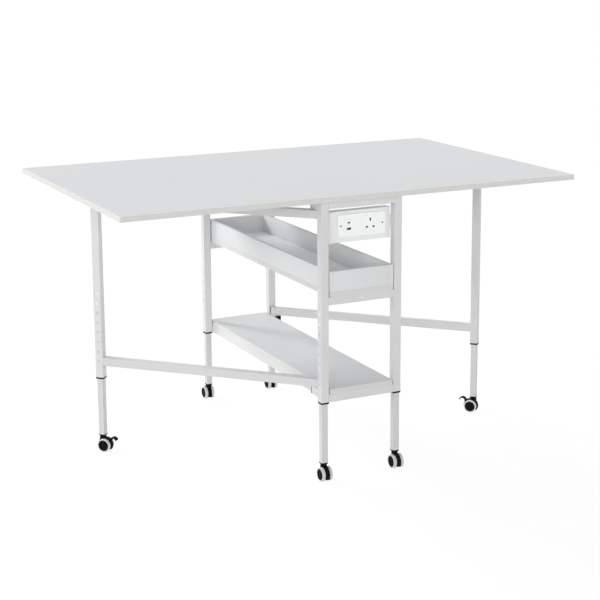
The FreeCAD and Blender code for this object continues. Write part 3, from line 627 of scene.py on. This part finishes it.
def make_hinge_screws(name, body, looks):
    """Three countersunk heads in each hinge plate, on its underside."""
    template = screw_shape(*HINGE_SCREW)
    places = []
    for low, high in separate_boxes(name):
        knuckle_x = math.copysign(KNUCKLE_X, low.x + high.x)
        outer_x = max(low.x, high.x, key=lambda x: abs(x - knuckle_x))
        for share, offset in HINGE_SCREW_PLACES:
            x = knuckle_x + (outer_x - knuckle_x) * share
            y = (low.y + high.y) / 2 + offset * MM
            places.append(Matrix.Translation((x, y, PLATE_UNDERSIDE)) @ upright_on((0, 0, -1)))
    whole = joined([template] * len(places), places)
    piece(f"{name}_screws", whole, looks["zinc"], body)


# Each charging port's tongue: its corners in X and Z, and how many contacts lie on it.
PORT_TONGUES = (((-35.2, 778.9), (-29.6, 779.5), 3), ((-36.9, 761.8), (-29.9, 763.0), 4))
TONGUE_FRONT = -433.6
TONGUE_BACK = -425.0
TONGUE_EDGE = 0.2
CONTACT_FRONT = TONGUE_FRONT + 0.5
CONTACT_BACK = -427.0
CONTACT_HALF = 0.45
# How far a contact reaches below and into the underside of its tongue.
CONTACT_DROP = 0.15
CONTACT_SINK = 0.05


def make_port_tongues(looks):
    """The plastic tongue with its contacts in each charging port."""
    shapes = []
    contacts = []
    for (left, bottom), (right, top), count in PORT_TONGUES:
        shapes.append(block((left, TONGUE_FRONT, bottom), (right, TONGUE_BACK, top), TONGUE_EDGE))
        step = (right - left) / count
        for number in range(count):
            x = left + (number + 0.5) * step
            contacts.append(block((x - CONTACT_HALF, CONTACT_FRONT, bottom - CONTACT_DROP),
                                  (x + CONTACT_HALF, CONTACT_BACK, bottom + CONTACT_SINK)))
    piece("charger_tongues", joined(shapes), looks["port_tongue"], "frame")
    piece("charger_contacts", joined(contacts), looks["contact"], "frame")


# ---------------------------------------------------------------- floor and background

SKY_LEVEL = 0.29
FLOOR_HALF = 60
FLOOR_CELLS = 8
# Just under the wheels, so that the floor and the wheels share no face.
FLOOR_LEVEL = -0.0003
# How much of the floor's colour comes from the lamps, and how brightly they light it.
FLOOR_SHADOW = 0.15
FLOOR_LIGHT = 0.78


def seen_directly(tree):
    """1 for rays from the camera, a reflection or glass, and 0 for rays that light the object."""
    rays = tree.nodes.new("ShaderNodeLightPath").outputs
    share = rays["Is Camera Ray"]
    for other in ("Is Glossy Ray", "Is Transmission Ray"):
        share = add_node(tree, "ShaderNodeMath", {"operation": "MAXIMUM"},
                         _0=share, _1=rays[other]).outputs[0]
    return share


def make_floor():
    """A pale floor that reads as white where it is lit and keeps the object's soft shadow."""
    shape = bmesh.new()
    bmesh.ops.create_grid(shape, x_segments=FLOOR_CELLS, y_segments=FLOOR_CELLS, size=FLOOR_HALF)
    mesh = bpy.data.meshes.new("floor")
    shape.to_mesh(mesh)
    floor = bpy.data.objects.new("floor", mesh)
    floor.location.z = FLOOR_LEVEL
    bpy.context.scene.collection.objects.link(floor)
    material = bpy.data.materials.new("floor")
    material.use_nodes = True
    tree = material.node_tree
    tree.nodes.remove(tree.nodes["Principled BSDF"])
    plain = add_node(tree, "ShaderNodeBsdfDiffuse", Color=screen(240, 240, 240)).outputs[0]
    glow = 1 - FLOOR_SHADOW * FLOOR_LIGHT
    white = add_node(tree, "ShaderNodeEmission", Color=WHITE, Strength=glow).outputs[0]
    lit = add_node(tree, "ShaderNodeBsdfDiffuse", Color=dimmed(WHITE, FLOOR_SHADOW)).outputs[0]
    seen = add_node(tree, "ShaderNodeAddShader", _0=white, _1=lit).outputs[0]
    result = add_node(tree, "ShaderNodeMixShader",
                      _0=seen_directly(tree), _1=plain, _2=seen).outputs[0]
    tree.links.new(result, tree.nodes["Material Output"].inputs[0])
    mesh.materials.append(material)


def make_world():
    """Even light from all sides, that reads as white where it is seen itself."""
    world = bpy.data.worlds.new("studio")
    world.use_nodes = True
    tree = world.node_tree
    light = add_node(tree, "ShaderNodeBackground", Color=WHITE, Strength=SKY_LEVEL).outputs[0]
    white = add_node(tree, "ShaderNodeBackground", Color=WHITE, Strength=1.0).outputs[0]
    result = add_node(tree, "ShaderNodeMixShader",
                      _0=seen_directly(tree), _1=light, _2=white).outputs[0]
    tree.links.new(result, tree.nodes["World Output"].inputs[0])
    tree.nodes.remove(tree.nodes["Background"])
    bpy.context.scene.world = world


# ---------------------------------------------------------------- the table

def dress_frame(looks):
    """Materials and rounded edges of the tubes, boards, socket box and small black parts."""
    tubes = ["frame_legs", "cross_rails", "side_rails", "top_end_rails", "pivot_stubs",
             "gate_left_post"]
    # These tubes take the darker copy of the white paint, painted shade in place of the light they
    # lack.
    painted_shade_tubes = ["gate_right_post", "gate_left_rails", "gate_right_rails"]
    feet = [f"foot_{name}_tube" for name in CASTERS]
    soften(tubes + painted_shade_tubes, 1.6)
    soften(feet, 1.3)
    dress(tubes, looks["paint"])
    dress(painted_shade_tubes + feet, looks["painted_shade_paint"])

    panels = ["centre_panel", "leaf_left_panel", "leaf_right_panel"]
    dress(panels + ["tray_base"], looks["flat_board"])
    # The shelf takes the darker copy of the laminate, painted shade.
    dress(["shelf_board"], looks["board_with_painted_shade"])
    soften(["shelf_board"], 0.5, shortest=0.005)
    soften(["tray_base"], 0.9, shortest=0.005)

    dress(["socket_housing"], looks["housing"])
    soften(["socket_housing"], 0.8, shortest=0.01)
    dress(["socket_faceplate"], looks["white_plastic"])
    # Painted shade darkens the slots of the outlet and charger fronts.
    dress(["outlet_front", "charger_front"], looks["slotted"])
    dress(["module_backs"], looks["black_plastic"])
    soften(["socket_faceplate"], 1.2, shortest=0.055)
    soften(["outlet_front", "charger_front"], 0.25, shortest=0.001)

    black = ["leg_collars", "stub_plugs", "gate_left_caps", "gate_right_caps"]
    black += [f"foot_{name}_plug" for name in CASTERS]
    soften(black, 0.7, shortest=0.005)
    dress(black, looks["black_plastic"])

    dress(["pivot_bolts", "leaf_left_hinges", "leaf_right_hinges", "frame_hinges"], looks["zinc"])
    dress(["pivot_washers"], looks["nylon"])


def dress_casters(looks):
    """Materials and rounded edges of the caster bodies and levers, and their finer wheels."""
    bodies = [f"caster_{name}_body" for name in CASTERS]
    levers = [f"caster_gate_{side}_lever" for side in GATE_TURNS]
    dress(bodies + levers, looks["black_plastic"])
    soften(bodies + levers, 0.6, shortest=0.0004)
    for name in CASTERS:
        make_wheels(name, looks)


bpy.context.scene.view_settings.view_transform = "Standard"
make_camera()
make_sun("key", -150, 32, 0.45, 16)
make_sun("front", -35, 13, 0.32, 36)
make_sun("fill_right", 30, 16, 0.23, 60, shadow=False)
make_sun("fill_left", -95, 12, 0.3, 30)
make_sun("fill_high", -160, 50, 0.23, 60, shadow=False)
make_world()
make_floor()
looks = make_materials()
dress_frame(looks)
dress_casters(looks)
make_screws("height_screws", "frame", HEIGHT_SCREW, looks["screw"])
for side, turn in GATE_TURNS.items():
    make_screws(f"gate_{side}_screws", f"gate_{side}", HEIGHT_SCREW, looks["screw"], turn, face=-1)
make_screws("rail_screws", "frame", RAIL_SCREW, looks["screw"], along=1)
make_screws("faceplate_screws", "frame", FACEPLATE_SCREW, looks["dull_screw"], along=1)
make_hinge_screws("frame_hinges", "frame", looks)
for side in GATE_TURNS:
    make_hinge_screws(f"leaf_{side}_hinges", f"leaf_{side}", looks)
make_port_tongues(looks)
make_tray_walls(looks)
